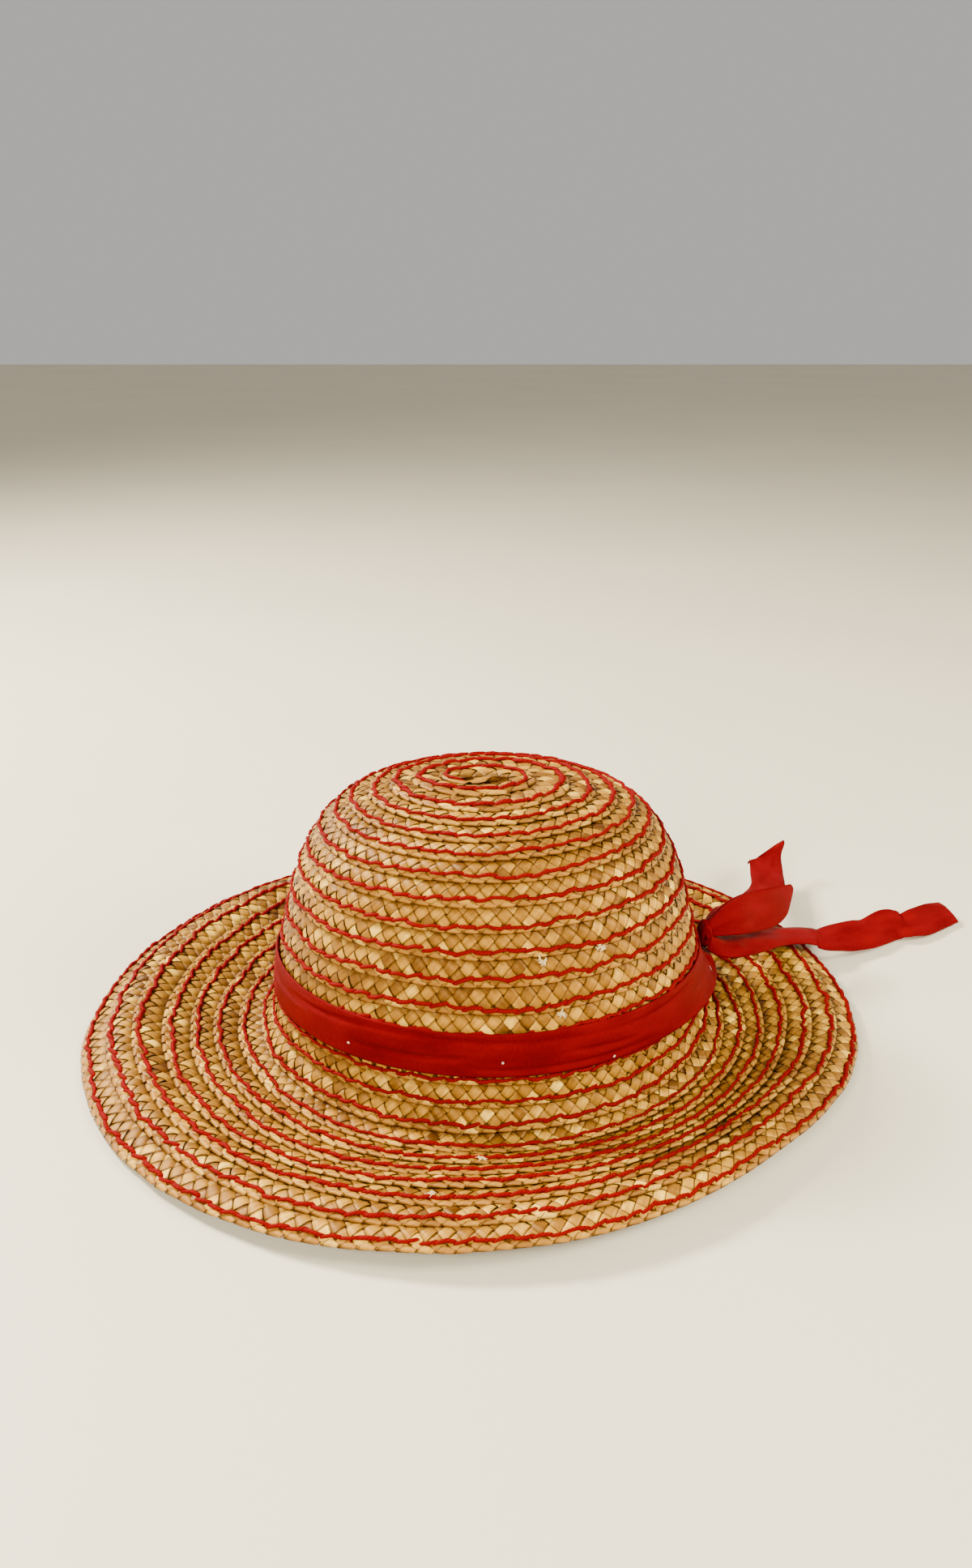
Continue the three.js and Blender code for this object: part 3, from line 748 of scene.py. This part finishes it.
def ribbon_loop():
    """The loop: out along its path, round a soft turn at its tip and back beneath."""
    point, across, normal, half, length = path_frames(LOOP, 16)
    share = length / length[-1]
    spread = 0.75 + 1.5 * np.sqrt(np.clip(np.sin(math.pi * np.clip(share * 0.97, 0, 1)), 0, 1))
    turn = np.linspace(0, math.pi, 9)[1:-1]
    last = len(point) - 1
    forward = np.cross(normal[last], across[last])
    tip_spread = spread[last]
    middle = [point + normal * spread[:, None]]
    frames = [normal]
    middle.append(point[last] + np.outer(np.cos(turn), normal[last] * tip_spread)
                  + np.outer(np.sin(turn), forward * (tip_spread + 1.0)))
    frames.append(np.outer(np.cos(turn), normal[last]) + np.outer(np.sin(turn), forward))
    middle.append((point - normal * spread[:, None])[::-1])
    frames.append(-normal[::-1])
    middle = np.concatenate(middle)
    facing = np.concatenate(frames)
    sides = np.concatenate([across, np.repeat(across[last:], len(turn), 0), across[::-1]])
    halves = np.concatenate([half, np.repeat(half[last], len(turn)), half[::-1]])
    run = np.concatenate([[0], np.cumsum(np.linalg.norm(np.diff(middle, axis=0), axis=1))])
    cup = 0.5 * (1 - ACROSS[None, :] ** 2) + 0.35 * ripples(9, run, 12.0)
    centre = (len(middle) - 1) / 2
    reach = np.clip(1 - np.abs(np.arange(len(middle)) - centre) / (len(middle) / 2), 0, 1)
    corner = 4.0 * np.clip(np.abs(ACROSS) - 0.55, 0, 1) ** 2 / 0.2
    lean = reach[:, None] ** 2 * (LOOP_LEAN * (-0.35 - ACROSS) - corner)[None, :]
    grid = (middle[:, None] + sides[:, None] * (halves[:, None] * ACROSS)[..., None]
            + facing[:, None] * cup[..., None] + forward * lean[..., None])
    ribbon_sheet("ribbon_loop_cloth", grid, facing, run, "ribbon_loop")


# The knot's wrap: its size over the solid's.
KNOT_SWELL = 1.16


def ribbon_knot():
    """The knot: a bundle with folds that run over it, wrapped round the crossing."""
    low, high = (np.array(c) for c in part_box("ribbon_knot"))
    centre = (low + high) / 2
    size = (high - low) / 2 * KNOT_SWELL
    n, m = 48, 26
    u = np.arange(n) * 2 * math.pi / n
    v = np.linspace(0.04, math.pi - 0.04, m)
    uu, vv = np.meshgrid(u, v, indexing="ij")
    ridge = 1 + 0.1 * np.sin(6 * vv + 1.3 * np.sin(uu)) + 0.04 * np.sin(13 * vv + 2 * uu)
    shape = np.stack([np.sin(vv) * np.cos(uu), np.cos(vv), np.sin(vv) * np.sin(uu)], 2)
    grid = centre + shape * size * ridge[..., None]
    ring = grid.reshape(-1, 3)
    i = np.arange(n)[:, None]
    k = np.arange(m - 1)[None, :]
    nxt = ((i + 1) % n) * m
    quads = np.stack([i * m + k, nxt + k, nxt + k + 1, i * m + k + 1], 2).reshape(-1, 4)
    caps = [np.arange(n)[::-1][None, :] * m, np.arange(n)[None, :] * m + m - 1]
    uv = np.stack([uu.ravel() * 4.0, vv.ravel() * 4.0], 1)
    piece = build_mesh("ribbon_knot_cloth", ring, [quads, np.concatenate(caps)], RIBBON, uv)
    declare(piece, "ribbon_knot")


ribbon_knot()
ribbon_loop()


def slivers(name, spots, node, material, count, length, radius, lift, curl):
    """Short loose fibres, count at each place on the hat: row, azimuth."""
    rng = np.random.default_rng(len(spots) + count)
    verts, quads, caps = [], [], []
    stations, sides = 5, 4
    along = np.linspace(-0.5, 0.5, stations)
    theta = np.arange(sides) * 2 * math.pi / sides
    first = 0
    for row, angle in spots:
        here, down, turned = (on_surface([r], [a], [lift])[0] for r, a in
                              ((row, angle), (row + 0.05, angle), (row, angle + 0.5)))
        outward = (down - here) / np.linalg.norm(down - here)
        round_way = (turned - here) / np.linalg.norm(turned - here)
        up = np.cross(outward, round_way)
        up = up / np.linalg.norm(up) * (1 if up[2] > 0 else -1)
        for _ in range(count):
            heading = rng.uniform(0, math.pi)
            way = outward * math.sin(heading) + round_way * math.cos(heading)
            beside = np.cross(way, up)
            shift = 0
            if count > 1:
                shift = (outward * rng.normal(0, 0.7) + round_way * rng.normal(0, 0.9)) * MM
            size = length * rng.uniform(0.6, 1.2) * MM
            middle = (here + shift + way * (along * size)[:, None]
                      + up * ((0.25 - along ** 2) * curl * size + rng.uniform(0, 0.3) * MM)[:, None]
                      + beside * (along ** 2 * rng.uniform(-1, 1) * curl * size)[:, None])
            thick = radius * MM * (1 - 0.6 * np.abs(along) * 2)[:, None, None]
            section = beside * (2.2 * np.cos(theta))[:, None] + up * np.sin(theta)[:, None]
            verts.append((middle[:, None] + thick * section).reshape(-1, 3))
            q, cap = tube_faces(stations, sides, first)
            quads.append(q)
            caps.append(cap)
            first += stations * sides
    uv = np.stack([np.arange(first) * 0.7, np.zeros(first)], 1)
    faces = [np.concatenate(quads), np.concatenate(caps)]
    piece = build_mesh(name, np.concatenate(verts), faces, material, uv)
    declare(piece, node)


# Pale frayed places on the straw, and pale flecks and one loose fibre on the band.
slivers("fray_crown", [(12.1, 287.8), (9.9, 300.2), (10.05, 283.8)], "crown",
        PALE_STRAW, 9, 3.0, 0.2, 1.0, 0.5)
slivers("fray_brim", [(21.65, 262.2), (18.85, 268.8)], "brim",
        PALE_STRAW, 8, 2.8, 0.2, 1.0, 0.5)
BAND_LIFT = RIBBON_LIFT + RIBBON_THICK + 0.3
slivers("lint_band", [(13.9, 234.8), (13.8, 273.2), (14.3, 300.8)], "ribbon_band",
        PALE_THREAD, 1, 1.3, 0.26, BAND_LIFT, 0.3)
slivers("fibre_band", [(13.75, 350.0)], "ribbon_band",
        PALE_THREAD, 1, 9.0, 0.09, BAND_LIFT + 2.6, 0.35)

# The floor and the light
floor_material, floor_tree, floor_shader = node_tree("floor")
floor_noise = add(floor_tree, "ShaderNodeTexNoise", {"Scale": 40.0, "Detail": 3.0}).outputs["Fac"]
floor_tree.links.new(
    ramp(floor_tree, floor_noise, [(0.3, (0.7, 0.615, 0.41)), (0.7, (0.74, 0.65, 0.435))]),
    floor_shader.inputs["Base Color"])
floor_shader.inputs["Roughness"].default_value = 0.55
FLOOR_HALF = 6.0
floor_corners = [(x * FLOOR_HALF, y * FLOOR_HALF, 0) for x, y in ((-1, -1), (1, -1), (1, 1), (-1, 1))]
floor_mesh = bpy.data.meshes.new("floor")
floor_mesh.from_pydata(floor_corners, [], [(0, 1, 2, 3)])
floor_mesh.materials.append(floor_material)
floor = bpy.data.objects.new("floor", floor_mesh)
floor.location.z = -0.0002
bpy.context.collection.objects.link(floor)

world = bpy.data.worlds.new("studio")
world.use_nodes = True
world.node_tree.nodes["Background"].inputs["Color"].default_value = (1.0, 0.98, 0.95, 1.0)
world.node_tree.nodes["Background"].inputs["Strength"].default_value = 0.5
bpy.context.scene.world = world


def area_light(name, place, aim, size, energy, colour):
    """A square soft light at a place, turned to its aim."""
    data = bpy.data.lights.new(name, "AREA")
    data.size = size
    data.energy = energy
    data.color = colour
    lamp = bpy.data.objects.new(name, data)
    lamp.location = place
    lamp.rotation_euler = (Vector(aim) - Vector(place)).to_track_quat("-Z", "Y").to_euler()
    bpy.context.collection.objects.link(lamp)


area_light("key", (-0.95, 0.5, 1.0), (0, 0, 0), 0.35, 66.0, (1.0, 0.97, 0.92))
area_light("front", (-0.45, -1.05, 0.75), (0, 0, 0.05), 0.45, 27.0, (1.0, 0.98, 0.95))
area_light("side", (1.0, -0.4, 0.8), (0, 0, 0), 0.45, 32.0, (1.0, 0.98, 0.95))
